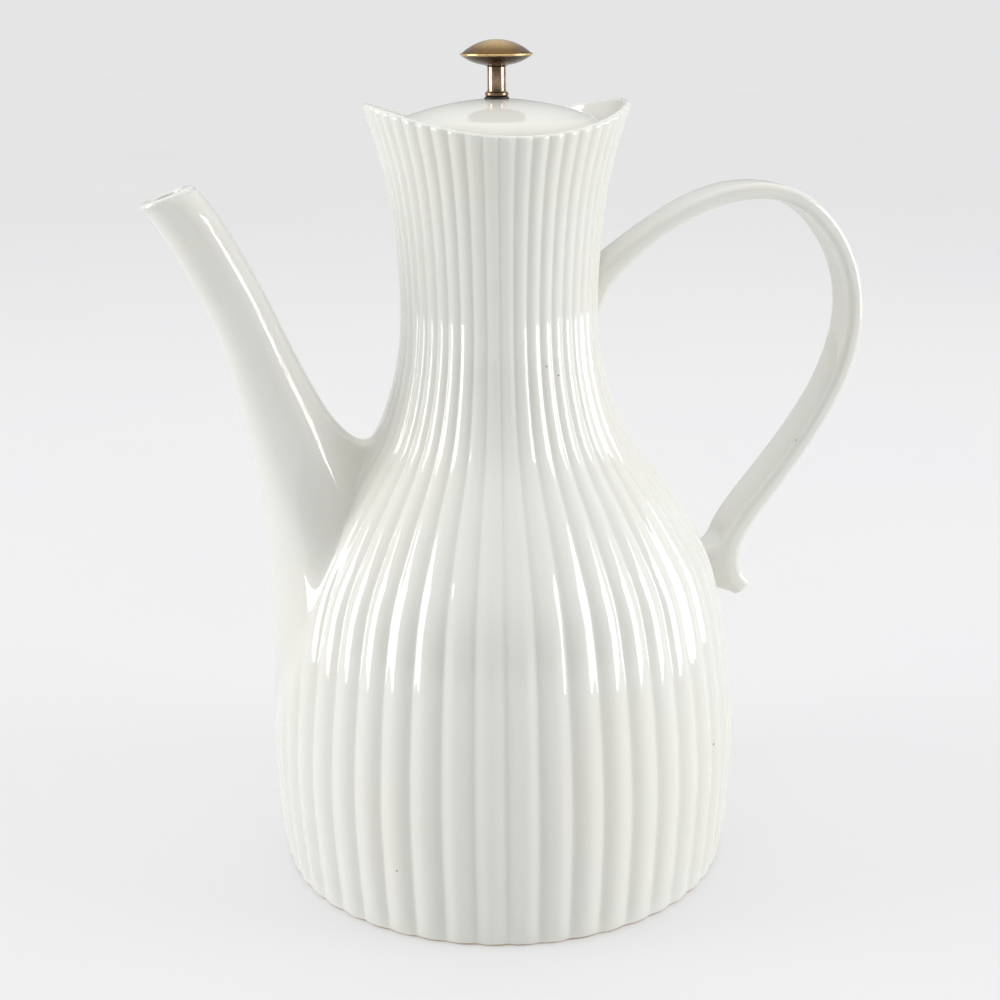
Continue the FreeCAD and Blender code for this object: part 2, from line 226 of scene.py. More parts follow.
# ---- Mesh helpers: every surface is a list of rings with the same number of points ----
def ring_faces(rings, columns, first=0):
    faces = []
    for row in range(rings - 1):
        low = first + row * columns
        for i in range(columns):
            j = (i + 1) % columns
            faces.append((low + i, low + j, low + columns + j, low + columns + i))
    return faces


def fan_faces(centre, first, columns, flip):
    faces = []
    for i in range(columns):
        pair = (first + i, first + (i + 1) % columns)
        faces.append((centre, pair[1], pair[0]) if flip else (centre, pair[0], pair[1]))
    return faces


def signed_volume(points, faces):
    quads = np.array([face if len(face) == 4 else face + (face[2],) for face in faces])
    a, b, c, d = (points[quads[:, k]] for k in range(4))
    return float((np.einsum("ij,ij->i", a, np.cross(b, c)) + np.einsum("ij,ij->i", a, np.cross(c, d))).sum())


def solid_from_rings(name, rings, looped=False):
    """Closed mesh from rings of points; the ends are closed by fans, or joined when looped."""
    rings = [np.asarray(ring, float) for ring in rings]
    columns = len(rings[0])
    points = np.concatenate(rings)
    count = len(rings)
    faces = ring_faces(count, columns)
    if looped:
        last = (count - 1) * columns
        for i in range(columns):
            j = (i + 1) % columns
            faces.append((last + i, last + j, j, i))
    else:
        ends = np.array([rings[0].mean(axis=0), rings[-1].mean(axis=0)])
        start = len(points)
        points = np.concatenate([points, ends])
        faces += fan_faces(start, 0, columns, True)
        faces += fan_faces(start + 1, (count - 1) * columns, columns, False)
    return mesh_object(name, points, faces)


def mesh_object(name, points, faces):
    if signed_volume(points, faces) < 0:
        faces = [tuple(reversed(face)) for face in faces]
    mesh = bpy.data.meshes.new(name)
    mesh.from_pydata((points * MM).tolist(), [], faces)
    mesh.validate()
    mesh.shade_smooth()
    piece = bpy.data.objects.new(name, mesh)
    bpy.context.scene.collection.objects.link(piece)
    return piece


def arc_points(start, middle, end, count):
    """Points of the circular arc from start through middle to end, both ends included."""
    (ax, ay), (bx, by), (cx, cy) = start, middle, end
    cross = 2 * (ax * (by - cy) + bx * (cy - ay) + cx * (ay - by))
    sa, sb, sc = ax * ax + ay * ay, bx * bx + by * by, cx * cx + cy * cy
    ox = (sa * (by - cy) + sb * (cy - ay) + sc * (ay - by)) / cross
    oy = (sa * (cx - bx) + sb * (ax - cx) + sc * (bx - ax)) / cross
    turn = 2 * math.pi
    a0 = math.atan2(ay - oy, ax - ox)
    a1 = math.atan2(by - oy, bx - ox)
    a2 = math.atan2(cy - oy, cx - ox)
    sweep = (a2 - a0) % turn
    if (a1 - a0) % turn > sweep:
        sweep -= turn
    radius = math.hypot(ax - ox, ay - oy)
    angles = [a0 + sweep * k / (count - 1) for k in range(count)]
    return [(ox + radius * math.cos(a), oy + radius * math.sin(a)) for a in angles]


def revolve(name, outline, columns, looped):
    """Solid of revolution of a (radius, height) outline; looped when it never meets the axis."""
    turn = np.arange(columns) * 2 * math.pi / columns
    rings = []
    for radius, height in outline:
        ring = np.stack([radius * np.cos(turn), radius * np.sin(turn), np.full(columns, height)], 1)
        rings.append(ring)
    return solid_from_rings(name, rings, looped)


def rounded(outline, radius, steps=4):
    """The closed outline with each corner rounded."""
    count = len(outline)
    result = []
    for i in range(count):
        before, corner, after = (np.array(outline[(i + k) % count], float) for k in (-1, 0, 1))
        into = (before - corner) / np.linalg.norm(before - corner)
        out = (after - corner) / np.linalg.norm(after - corner)
        half = math.acos(float(np.clip(np.dot(into, out), -1, 1))) / 2
        reach = radius / math.tan(half)
        reach = min(reach, 0.45 * np.linalg.norm(before - corner), 0.45 * np.linalg.norm(after - corner))
        start, end = corner + into * reach, corner + out * reach
        for k in range(steps + 1):
            t = k / steps
            point = start * (1 - t) ** 2 + corner * 2 * t * (1 - t) + end * t * t
            result.append(tuple(point))
    return result


# ---- Pot body ----
def reed_angles():
    """Angles of the body's columns and each one's phase across its reed, from -0.5 to 0.5."""
    share = (np.arange(REED_SAMPLES) + 0.5) / REED_SAMPLES
    phase = 0.5 * np.sin(math.pi * (share - 0.5))
    step = 2 * math.pi / REED_COUNT
    angles = ((np.arange(REED_COUNT)[:, None] + phase[None, :]) * step).ravel()
    return angles, np.tile(phase, REED_COUNT)


def reed_dip(phase):
    """How far a point is below its reed's crest: 0 at the crest and 1 in the rounded valley."""
    from_valley = np.sqrt((0.5 - np.abs(phase)) ** 2 + VALLEY_ROUNDING ** 2)
    return ((0.5 - from_valley) / (0.5 - VALLEY_ROUNDING)) ** 2


def root_curve():
    """The root's outline from top to bottom on one side, as (azimuth in radians, height)."""
    side = [(math.radians(a), z) for a, z in ROOT_OUTLINE]
    mirrored = [(-a, z) for a, z in side[1:3]][::-1] + side + [(-a, z) for a, z in side[-3:-1]][::-1]
    scaled = [(a * crest_radius(np.array(z)), z) for a, z in mirrored]
    lengths = chord_lengths(scaled)
    curve = natural_spline(lengths, mirrored)
    dense = curve(np.linspace(lengths[2], lengths[-3], ROOT_CURVE_POINTS))
    radius = crest_radius(dense[:, 1])
    solid = np.stack([-radius * np.cos(dense[:, 0]), radius * np.sin(dense[:, 0]), dense[:, 1]], 1)
    return dense, solid


def root_shares(angles, heights):
    """Reed strength and sink of body points near the spout's root: (strength, sink)."""
    dense, solid = root_curve()
    azimuth = np.abs(angles % (2 * math.pi) - math.pi)
    order = np.argsort(dense[:, 1])
    width = np.interp(heights, dense[order, 1], dense[order, 0], left=0.0, right=0.0)
    inside = azimuth < width
    strength = np.ones(angles.shape)
    sink = np.zeros(angles.shape)
    margin = 2.5 * ROOT_FADE_BOTTOM
    near = azimuth < ROOT_NEAR_TURN
    near &= (heights > ROOT_OUTLINE[-1][1] - margin) & (heights < ROOT_OUTLINE[0][1] + margin)
    radius = crest_radius(heights[near])
    points = np.stack([-radius * np.cos(azimuth[near]), radius * np.sin(azimuth[near]), heights[near]], 1)
    distance = np.full(len(points), np.inf)
    for point in solid[::4]:
        distance = np.minimum(distance, np.linalg.norm(points - point, axis=1))
    low, high = ROOT_FADE_HEIGHTS
    low_share = smoothstep((high - heights[near]) / (high - low))
    fade = ROOT_FADE_TOP + (ROOT_FADE_BOTTOM - ROOT_FADE_TOP) * low_share
    strength[near] = np.where(inside[near], 0.0, smoothstep(distance / fade))
    sink[near] = np.where(inside[near], ROOT_SINK * smoothstep(distance / ROOT_SINK_REACH), 0.0)
    return strength, sink


def lip_height(angles):
    """Height of the saddle-shaped lip at each angle."""
    height = np.full(angles.shape, LIP_LOW)
    for _ in range(4):
        across = crest_radius(height) * np.cos(angles) / LIP_REACH
        height = LIP_LOW + (LIP_HIGH - LIP_LOW) * across ** 2
    return height


def build_body():
    angles, phase = reed_angles()
    dip = reed_dip(phase)
    cos, sin = np.cos(angles), np.sin(angles)

    def ring(radius, height):
        radius = np.broadcast_to(np.asarray(radius, float), angles.shape)
        height = np.broadcast_to(np.asarray(height, float), angles.shape)
        return np.stack([radius * cos, radius * sin, height], 1)

    def reeded(height, inset=0.0):
        strength, sink = root_shares(angles, height)
        crest = crest_radius(height)
        full = FOOT_REED_SHARE + (1 - FOOT_REED_SHARE) * smoothstep(height / FOOT_REED_RISE)
        return crest - reed_depth(crest) * dip * strength * full - sink - inset

    rings = [ring(radius, height) for radius, height in foot_outline()]
    for step in range(FOOT_EDGE_STEPS):
        turn = step / FOOT_EDGE_STEPS * math.pi / 2
        height = np.full(angles.shape, FOOT_EDGE * (1 - math.cos(turn)))
        rings.append(ring(reeded(height, FOOT_EDGE * (1 - math.sin(turn))), height))
    for height in np.arange(FOOT_EDGE, LIP_WARP_START, ROW_STEP):
        level = np.full(angles.shape, height)
        rings.append(ring(reeded(level), level))
    lip_half = LIP_WALL / 2
    lip_top = lip_height(angles)
    rows = int((LIP_HIGH - LIP_WARP_START) / ROW_STEP)
    for share in np.linspace(0, 1, rows):
        level = LIP_WARP_START + (lip_top - lip_half - LIP_WARP_START) * share
        rings.append(ring(reeded(level), level))
    shoulder = lip_top - lip_half
    outer = reeded(shoulder)
    crest = crest_radius(shoulder)
    inner = crest - reed_depth(crest) - LIP_WALL
    middle, half = (outer + inner) / 2, (outer - inner) / 2
    for step in range(1, LIP_ROWS):
        turn = step / LIP_ROWS * math.pi
        rings.append(ring(middle + half * math.cos(turn), shoulder + lip_half * math.sin(turn)))
    seat_edge = SEAT_HEIGHT + SEAT_EDGE_RISE
    for share in np.linspace(0, 1, 5):
        level = shoulder + (seat_edge - shoulder) * share
        rings.append(ring(inner + (SEAT_RADIUS - inner) * share, level))
    rings += [ring(radius, height) for radius, height in inside_outline()]
    return solid_from_rings("pot_body_visual", rings)


def foot_outline():
    """The recess under the foot and the flat ring that it stands on, from near the middle out."""
    edge, depth = FOOT_RECESS_RADIUS, FOOT_RECESS_DEPTH
    recess = [(20.0, depth), (50.0, depth), (edge - 1.0, depth), (edge - 0.3, depth - 0.3), (edge, 2.0)]
    return recess + [(edge + 0.1, 0.6), (edge + 0.6, 0.0), (FOOT_RING_MIDDLE, 0.0)]


def inside_outline():
    """The pot's inside from the lid seat down to the middle of the floor."""
    outline = [
        (SEAT_RADIUS, SEAT_HEIGHT + SEAT_ROUND), (SEAT_RADIUS - SEAT_ROUND, SEAT_HEIGHT),
        (SEAT_BORE + SEAT_BORE_ROUND, SEAT_HEIGHT), (SEAT_BORE, SEAT_HEIGHT - SEAT_BORE_ROUND),
        (SEAT_BORE, SEAT_HEIGHT - SEAT_THICKNESS),
    ]
    for height in np.arange(SEAT_HEIGHT - SEAT_THICKNESS - INSIDE_STEP, FLOOR_BEND_TOP, -INSIDE_STEP):
        outline.append((inside_radius(height), float(height)))
    wall = inside_radius(FLOOR_BEND_TOP)
    for step in range(FLOOR_BEND_STEPS + 1):
        turn = step / FLOOR_BEND_STEPS * math.pi / 2
        outline.append((
            FLOOR_BEND_RADIUS + (wall - FLOOR_BEND_RADIUS) * math.cos(turn),
            FLOOR_BEND_TOP - (FLOOR_BEND_TOP - FLOOR_TOP) * math.sin(turn),
        ))
    return outline + [(radius, FLOOR_TOP) for radius in FLOOR_RINGS]


def inside_radius(height):
    crest = float(crest_radius(np.array(height)))
    return crest - reed_depth(crest) - WALL


# ---- Spout ----
def bezier(start, first, second, end, at):
    at = at[:, None, None]
    back = 1 - at
    return start * back ** 3 + 3 * first * back ** 2 * at + 3 * second * back * at ** 2 + end * at ** 3


def tube_rings(shrink):
    """Rings of the tapering tube from the root's top to the mouth; shrink narrows them to the bore."""
    centres = [(x, z) for x, z, *_ in TUBE_SECTIONS]
    lengths = chord_lengths(centres)
    path = natural_spline(lengths, TUBE_SECTIONS)
    turn = np.arange(TUBE_COLUMNS) * 2 * math.pi / TUBE_COLUMNS
    rings = []
    for x, z, tilt, half_length, half_width in path(np.linspace(0, lengths[-1], TUBE_ROWS)):
        tilt = math.radians(tilt)
        along = (half_length - shrink) * np.cos(turn)
        across = (half_width - shrink) * np.sin(turn)
        rings.append(np.stack([x + along * math.cos(tilt), across, z + along * math.sin(tilt)], 1))
    return rings


def root_rings(tube_ring, next_ring, inset, rows):
    """Rings that flow from the tube's lowest ring to the root's outline on the body.

    inset moves the outline inwards, for the surface of the hollow."""
    dense, solid = root_curve()
    share = np.arange(TUBE_COLUMNS) / (TUBE_COLUMNS / 2)
    side = np.where(share <= 1, 1.0, -1.0)
    share = np.where(share <= 1, share, 2 - share)
    lengths = chord_lengths(solid)
    spot = (ROOT_EVEN * share + (1 - ROOT_EVEN) * share ** ROOT_BUNCHING) * lengths[-1]
    azimuth = np.interp(spot, lengths, dense[:, 0])
    height = np.interp(spot, lengths, dense[:, 1])
    radius = crest_radius(height)
    slope = crest_slope(height)
    cos, sin = np.cos(azimuth), side * np.sin(azimuth)
    edge = np.stack([-radius * cos, radius * sin, height], 1)
    normal = unit_rows(np.stack([-cos, sin, -slope], 1))
    climb = unit_rows(np.stack([-slope * cos, slope * sin, np.ones(len(share))], 1))
    around = np.stack([np.abs(sin), side * cos, np.zeros(len(share))], 1)

    flow = edge - tube_ring
    reach = np.linalg.norm(flow, axis=1)
    flow = unit_rows(flow - normal * np.einsum("ij,ij->i", flow, normal)[:, None])
    upward = ROOT_ARRIVE_TOP * (1 - smoothstep(share / ROOT_TOP_SHARE))
    aside = ROOT_ARRIVE_ASIDE * np.abs(edge[:, 1])
    down = smoothstep((share - ROOT_TURN[0]) / (ROOT_TURN[1] - ROOT_TURN[0]))[:, None]
    arrival = (climb * upward[:, None] + around * aside[:, None]) * (1 - down)
    side_share, keel_share = ROOT_ARRIVE_BELOW
    keel = smoothstep((share - ROOT_KEEL_SHARE) / (1 - ROOT_KEEL_SHARE))
    run_down = reach * (side_share + (keel_share - side_share) * keel)
    arrival += flow * run_down[:, None] * down
    outward = unit_rows(arrival + climb * 0.01)
    edge = edge - outward * inset

    leave = ROOT_LEAVE_TOP + (ROOT_LEAVE_BOTTOM - ROOT_LEAVE_TOP) * smoothstep(share)
    first = tube_ring + unit_rows(tube_ring - next_ring) * leave[:, None]
    second = edge - arrival
    rings = list(bezier(tube_ring, first, second, edge, np.linspace(0, 1, rows)))
    return rings, outward, normal


def unit_rows(vectors):
    return vectors / np.linalg.norm(vectors, axis=1)[:, None]


def build_spout():
    outside, inside = tube_rings(0.0), tube_rings(SPOUT_WALL)
    root, outward, normal = root_rings(outside[0], outside[1], 0.0, ROOT_ROWS)
    hollow, _, _ = root_rings(inside[0], inside[1], SPOUT_WALL + HOLLOW_INSET, ROOT_ROWS // 2)
    skirt = root[-1] + outward * SKIRT_REACH - normal * SKIRT_DROP
    tucked = root[-1] + outward * TUCK_REACH - normal * TUCK_DEPTH
    deep = hollow[-1] - normal * HOLLOW_DEPTH
    rings = [deep, tucked, skirt] + root[::-1] + outside[1:-1]
    rings += mouth_rings(outside[-1]) + bore_rings(inside) + hollow[1:]
    return solid_from_rings("spout_visual", rings, looped=True)


def mouth_rings(outer):
    """The rounded lip of the mouth, from the tube's outside over to its bore."""
    centre = outer.mean(axis=0)
    tilt = math.radians(TUBE_SECTIONS[-1][2])
    up = np.array([-math.sin(tilt), 0.0, math.cos(tilt)])
    hole = centre + (outer - centre) * (MOUTH_HOLE / np.linalg.norm(outer - centre, axis=1))[:, None]
    middle, half = (outer + hole) / 2, (outer - hole) / 2
    rings = []
    for step in range(MOUTH_STEPS + 1):
        turn = step / MOUTH_STEPS * math.pi
        side = math.copysign(abs(math.cos(turn)) ** MOUTH_SIDE_POWER, math.cos(turn))
        lift = max(math.sin(turn), 0.0) ** MOUTH_LIFT_POWER
        rings.append(middle + half * side + up * MOUTH_ROUND * (lift - 1))
    return rings


def bore_rings(inside):
    """The bore from just inside the mouth down to the root, easing from the hole to the wall's inside."""
    rings = []
    for step, ring in enumerate(inside[-3::-1]):
        centre = ring.mean(axis=0)
        spread = np.linalg.norm(ring - centre, axis=1)
        limit = MOUTH_HOLE + step * BORE_OPENING
        rings.append(centre + (ring - centre) * np.minimum(1.0, limit / spread)[:, None])
    return rings


# ---- Handle ----
def strap_section(width, thickness):
    """Points (across, out) round the strap's section; out is away from the loop's inside."""
    corner = STRAP_CORNER * thickness
    middle, rise = width / 2 - corner, thickness / 2 - corner
    points = []
    for side, turn in ((1, 0), (-1, 1), (-1, 2), (1, 3)):
        level = 1 if turn < 2 else -1
        for step in range(STRAP_CORNER_STEPS + 1):
            angle = (turn + step / STRAP_CORNER_STEPS) * math.pi / 2
            points.append((side * middle + corner * math.cos(angle), level * rise + corner * math.sin(angle)))
        if turn % 2 == 0:
            for step in range(1, STRAP_FACE_STEPS):
                x = side * middle * (1 - 2 * step / STRAP_FACE_STEPS)
                points.append((x, level * thickness / 2))
    across, out = np.array(points).T
    bulge = np.where(out > rise, STRAP_CROWN * (1 - (2 * across / width) ** 2), 0.0)
    bulge += np.where(out < -rise, STRAP_HOLLOW * np.clip(1 - (across / middle) ** 2, 0, 1), 0.0)
    bow = np.sign(across) * STRAP_EDGE_CROWN * (1 - (2 * out / thickness) ** 2) * (np.abs(across) > middle)
    return across + bow, out + bulge


def strap_ring(row, run, web, grow=0.0, shift=0.0):
    """One ring of the strap, square to its run, grown all round, moved on by shift, with its web."""
    across, away = strap_section(row[2] + 2 * grow, row[3] + 2 * grow)
    inner = smoothstep(-away / (row[3] / 2)) * np.exp(-(across / HANDLE_WEB_HALF) ** 4)
    x = row[0] + run[0] * shift - away * run[1] - web * inner
    z = row[1] + run[1] * shift + away * run[0]
    return np.stack([x, across, z], 1)


def build_handle():
    lengths = chord_lengths([(x, z) for x, z, *_ in HANDLE_PATH])
    path = natural_spline(lengths, HANDLE_PATH)
    total = lengths[-1]
    stations = np.linspace(0, total, HANDLE_ROWS)
    rows = path(stations)
    ahead = path(np.minimum(stations + HANDLE_RUN_STEP, total))
    astern = path(np.maximum(stations - HANDLE_RUN_STEP, 0))
    runs = unit_rows((ahead - astern)[:, :2])
    square = smoothstep((rows[:, 0] - HANDLE_SQUARE_AT) / HANDLE_SQUARE_REACH)
    square = np.where(rows[:, 1] > HANDLE_HALFWAY, square, 1.0)
    runs = unit_rows(np.stack([runs[:, 0], runs[:, 1] * square], 1))
    webs = HANDLE_WEB_DEPTH * smoothstep((HANDLE_WEB_TOP - rows[:, 1]) / HANDLE_WEB_FADE)
    webs *= smoothstep((total - stations) / HANDLE_WEB_CLEAR)
    rings = [strap_ring(row, run, web) for row, run, web in zip(rows, runs, webs)]
    for step in range(1, HANDLE_END_ROWS + 1):
        turn = step / HANDLE_END_ROWS * math.pi / 2
        shrink = HANDLE_END_ROUND * (1 - math.cos(turn))
        rings.append(strap_ring(rows[-1], runs[-1], 0.0, -shrink, HANDLE_END_ROUND * math.sin(turn)))
    rings = [outside_wall(ring) for ring in rings]
    return solid_from_rings("handle_visual", rings)


def outside_wall(ring):
    """Moves points that would reach inside the pot out into its wall."""
    radius = np.hypot(ring[:, 0], ring[:, 1])
    least = crest_radius(ring[:, 2]) - WALL * HANDLE_WALL_SHARE
    push = np.maximum(1.0, least / np.maximum(radius, 1e-6))
    return ring * np.stack([push, push, np.ones(len(ring))], 1)


# ---- Lid, knob and washer ----
CROWN_RISE = 0.9                # the lid's crown, with washer and collar, stands this far over the CAD's
LID_HOLE = 2.6
LID_PAD = 4.6                   # radius of the flat pad under the washer
LID_DOME_MIDDLE = (16.0, 1.55)  # (radius, drop) below the crown
LID_SHOULDER = (29.5, 4.3)      # this and the rest of the lid's points are (radius, drop) below the CAD's top
LID_SHOULDER_MIDDLE = (34.4, 7.3)
LID_EDGE_DROP = 10.6
LID_UNDER_EDGE = (28.9, 8.7)
LID_UNDER_MIDDLE = (15.0, 5.0)
LID_UNDER_PAD = (7.0, 4.0)
FLANGE_OUTER = 32.6
FLANGE_INNER = 29.4
FLANGE_ROOT_DROP = 9.3
STUD_BORE = 2.05
STEM_RADIUS = 3.0
COLLAR_HEIGHT = 1.7
COLLAR_BULGE = 0.7
CAP_NECK = 3.9
CAP_SOCKET = (0.6, 5.1)         # (radius, height over the cap's foot) of the socket's closed end
CAP_UNDER_MIDDLE = (8.2, 1.4)
CAP_RIM_HEIGHT = 3.65           # the cap's widest edge above its foot
CAP_RIM_INSET = 0.2
RIM_CREASE = 0.25               # depth of the fine groove above the knob's rim
WASHER_HOLE = 2.2
WASHER_ROUND = 0.2


def build_lid():
    foot, top, rim = node_low("lid_shell")[2], node_high("lid_shell")[2], node_high("lid_shell")[0]
    crown, seat = top + CROWN_RISE, SEAT_HEIGHT

    def below(point, level=top):
        return point[0], level - point[1]

    shoulder, under_edge, under_pad = below(LID_SHOULDER), below(LID_UNDER_EDGE), below(LID_UNDER_PAD)
    outline = [(LID_HOLE, crown), (LID_PAD, crown)]
    outline += arc_points((LID_PAD, crown), below(LID_DOME_MIDDLE, crown), shoulder, 24)[1:]
    outline += arc_points(shoulder, below(LID_SHOULDER_MIDDLE), (rim, top - LID_EDGE_DROP), 12)[1:]
    outline += [(rim, seat + 0.8), (rim - 0.25, seat + 0.25), (rim - 0.8, seat)]
    outline += [(FLANGE_OUTER + 0.6, seat), (FLANGE_OUTER + 0.1, seat - 0.3), (FLANGE_OUTER, seat - 0.9)]
    outline += [(FLANGE_OUTER, foot + 0.8), (FLANGE_OUTER - 0.25, foot + 0.2), (FLANGE_OUTER - 0.8, foot)]
    outline += [(FLANGE_INNER + 0.8, foot), (FLANGE_INNER + 0.25, foot + 0.2), (FLANGE_INNER, foot + 0.8)]
    outline += [(FLANGE_INNER, top - FLANGE_ROOT_DROP), under_edge]
    outline += arc_points(under_edge, below(LID_UNDER_MIDDLE), under_pad, 14)[1:]
    outline += [(LID_HOLE, under_pad[1])]
    return revolve("lid_visual", outline, 192, True)


def build_cap():
    foot, top = node_low("knob_cap")[2], node_high("knob_cap")[2]
    rim = node_high("knob_cap")[0] - CAP_RIM_INSET
    edge = foot + CAP_RIM_HEIGHT
    socket = foot + CAP_SOCKET[1]
    under_middle = (CAP_UNDER_MIDDLE[0], foot + CAP_UNDER_MIDDLE[1])
    under_rim, over_rim = (rim - 0.35, edge - 0.4), (rim - 0.3, edge + 0.35)
    outline = [(CAP_SOCKET[0], socket), (STUD_BORE, socket), (STUD_BORE, foot)]
    outline += [(CAP_NECK - 0.4, foot), (CAP_NECK, foot + 0.25)]
    outline += arc_points((CAP_NECK, foot + 0.3), under_middle, under_rim, 18)[1:]
    outline += arc_points(under_rim, (rim + 0.05, edge), over_rim, 8)[1:]
    dome = over_rim[0] - RIM_CREASE
    outline += [(over_rim[0] - 0.15, edge + 0.38), (dome - 0.05, edge + 0.2)]
    rise = top - over_rim[1]
    sphere = (dome ** 2 + rise ** 2) / (2 * rise)
    for radius in dome * np.linspace(1, 0, 22)[:-1]:
        outline.append((radius, top - sphere + math.sqrt(sphere ** 2 - radius ** 2)))
    return revolve("knob_cap_visual", outline, 128, False)


def build_stem():
    foot, top = node_low("knob_stem")[2] + CROWN_RISE, node_high("knob_stem")[2]
    collar = node_high("knob_stem")[0]
    inner, step = collar - COLLAR_BULGE, foot + COLLAR_HEIGHT
    outline = [(STUD_BORE, top), (STUD_BORE, foot), (inner, foot)]
    outline += arc_points((inner, foot), (collar, foot + COLLAR_HEIGHT / 2), (inner, step), 14)[1:]
    outline += [(STEM_RADIUS + 0.12, step + 0.1), (STEM_RADIUS + 0.02, step + 0.3), (STEM_RADIUS, step + 0.7)]
    outline += [(STEM_RADIUS, foot + 5.0), (STEM_RADIUS, top - 0.5), (STEM_RADIUS - 0.05, top)]
    return revolve("knob_stem_visual", outline, 96, True)


def build_washer():
    low, high = node_low("knob_washer"), node_high("knob_washer")
    bottom, top = low[2] + CROWN_RISE, high[2] + CROWN_RISE
    outline = [(WASHER_HOLE, bottom), (high[0], bottom), (high[0], top), (WASHER_HOLE, top)]
    return revolve("knob_washer_visual", rounded(outline, WASHER_ROUND), 96, True)


# ---- Materials ----
class Nodes:
    """Small helper that adds and links shader nodes of one material."""

    def __init__(self, name):
        self.material = bpy.data.materials.new(name)
        self.material.use_nodes = True
        self.tree = self.material.node_tree
        self.shader = self.tree.nodes["Principled BSDF"]
        self.place = self.add("ShaderNodeTexCoord").outputs["Object"]

    def add(self, kind, **values):
        node = self.tree.nodes.new(kind)
        for name, value in values.items():
            if name in node.inputs:
                node.inputs[name].default_value = value
            else:
                setattr(node, name, value)
        return node

    def link(self, source, target):
        self.tree.links.new(source, target)

    def set(self, **values):
        for name, value in values.items():
            self.shader.inputs[name.replace("_", " ")].default_value = value

    def noise(self, scale, detail=2.0, roughness=0.5, stretch=(1, 1, 1)):
        mapping = self.add("ShaderNodeMapping")
        mapping.inputs["Scale"].default_value = stretch
        self.link(self.place, mapping.inputs["Vector"])
        texture = self.add("ShaderNodeTexNoise", Scale=scale, Detail=detail, Roughness=roughness)
        self.link(mapping.outputs["Vector"], texture.inputs["Vector"])
        return texture.outputs["Fac"]

    def spots(self, scale, size):
        """1 inside small round spots of a given size, as a share of their spacing, and 0 outside."""
        cells = self.add("ShaderNodeTexVoronoi", Scale=scale)
        self.link(self.place, cells.inputs["Vector"])
        return self.levels(cells.outputs["Distance"], size * 0.6, size, 1.0, 0.0)

    def ramp(self, source, stops):
        ramp = self.add("ShaderNodeValToRGB")
        elements = ramp.color_ramp.elements
        while len(elements) < len(stops):
            elements.new(0.5)
        for element, (position, colour) in zip(elements, stops):
            element.position = position
            element.color = colour
        self.link(source, ramp.inputs["Fac"])
        return ramp.outputs["Color"]

    def levels(self, source, start, end, first=0.0, last=1.0):
        """Grey from first to last as the source goes from start to end."""
        return self.ramp(source, [(start, (first,) * 3 + (1,)), (end, (last,) * 3 + (1,))])

    def axes(self):
        split = self.add("ShaderNodeSeparateXYZ")
        self.link(self.place, split.inputs[0])
        return split.outputs

    def mix(self, share, first, second):
        mix = self.add("ShaderNodeMix", data_type="RGBA")
        for value, socket in ((share, mix.inputs[0]), (first, mix.inputs[6]), (second, mix.inputs[7])):
            if isinstance(value, (float, tuple)):
                socket.default_value = value
            else:
                self.link(value, socket)
        return mix.outputs[2]

    def maths(self, operation, first, second):
        node = self.add("ShaderNodeMath", operation=operation)
        for value, socket in ((first, node.inputs[0]), (second, node.inputs[1])):
            if isinstance(value, float):
                socket.default_value = value
            else:
                self.link(value, socket)
        return node.outputs[0]

    def colour(self, source):
        self.link(source, self.shader.inputs["Base Color"])

    def roughness(self, source):
        self.link(source, self.shader.inputs["Roughness"])

    def bump(self, *layers):
        """Chained bumps from (height source, distance in millimetres)."""
        normal = None
        for height, distance in layers:
            node = self.add("ShaderNodeBump", Strength=1.0, Distance=distance * MM)
            self.link(height, node.inputs["Height"])
            if normal is not None:
                self.link(normal, node.inputs["Normal"])
            normal = node.outputs["Normal"]
        self.link(normal, self.shader.inputs["Normal"])


BLACK = (0.0, 0.0, 0.0, 1)
PORCELAIN_WHITE = (0.80, 0.80, 0.755, 1)
PORCELAIN_WARM = (0.79, 0.78, 0.70, 1)
IRON_BROWN = (0.32, 0.19, 0.08, 1)
BARE_CLAY = (0.42, 0.30, 0.19, 1)
BARE_HEIGHT = 1.3               # the glaze ends about this far above the foot
BARE_WANDER = 0.9               # and its edge wanders by this much
BARE_ROUGHNESS = (0.7, 0.7, 0.7, 1)
STEM_BRIGHT = (0.55, 0.38, 0.26, 1)
STEM_DARK = (0.17, 0.11, 0.07, 1)
# The cap's colours are painted light: a painted reflection at the crown, a painted dark reflection between, a
# painted highlight on the rim and painted shade underneath.
CAP_PAINTED_HIGHLIGHT = (0.80, 0.56, 0.25, 1)
CAP_FRECKLES_AND_PAINTED_DARK_REFLECTION = (0.15, 0.09, 0.035, 1)
CAP_PAINTED_UNDERSIDE_SHADE = (0.085, 0.055, 0.028, 1)
CAP_CLOUD = 0.22                # how far the painted light bands wander, as a share of the rim's radius
CAP_PAINTED_LIGHT_BANDS = [                    # (share of the rim's radius, colour)
    (0.18, CAP_PAINTED_HIGHLIGHT), (0.80, CAP_FRECKLES_AND_PAINTED_DARK_REFLECTION), (0.955, CAP_FRECKLES_AND_PAINTED_DARK_REFLECTION), (0.985, CAP_PAINTED_HIGHLIGHT),
]


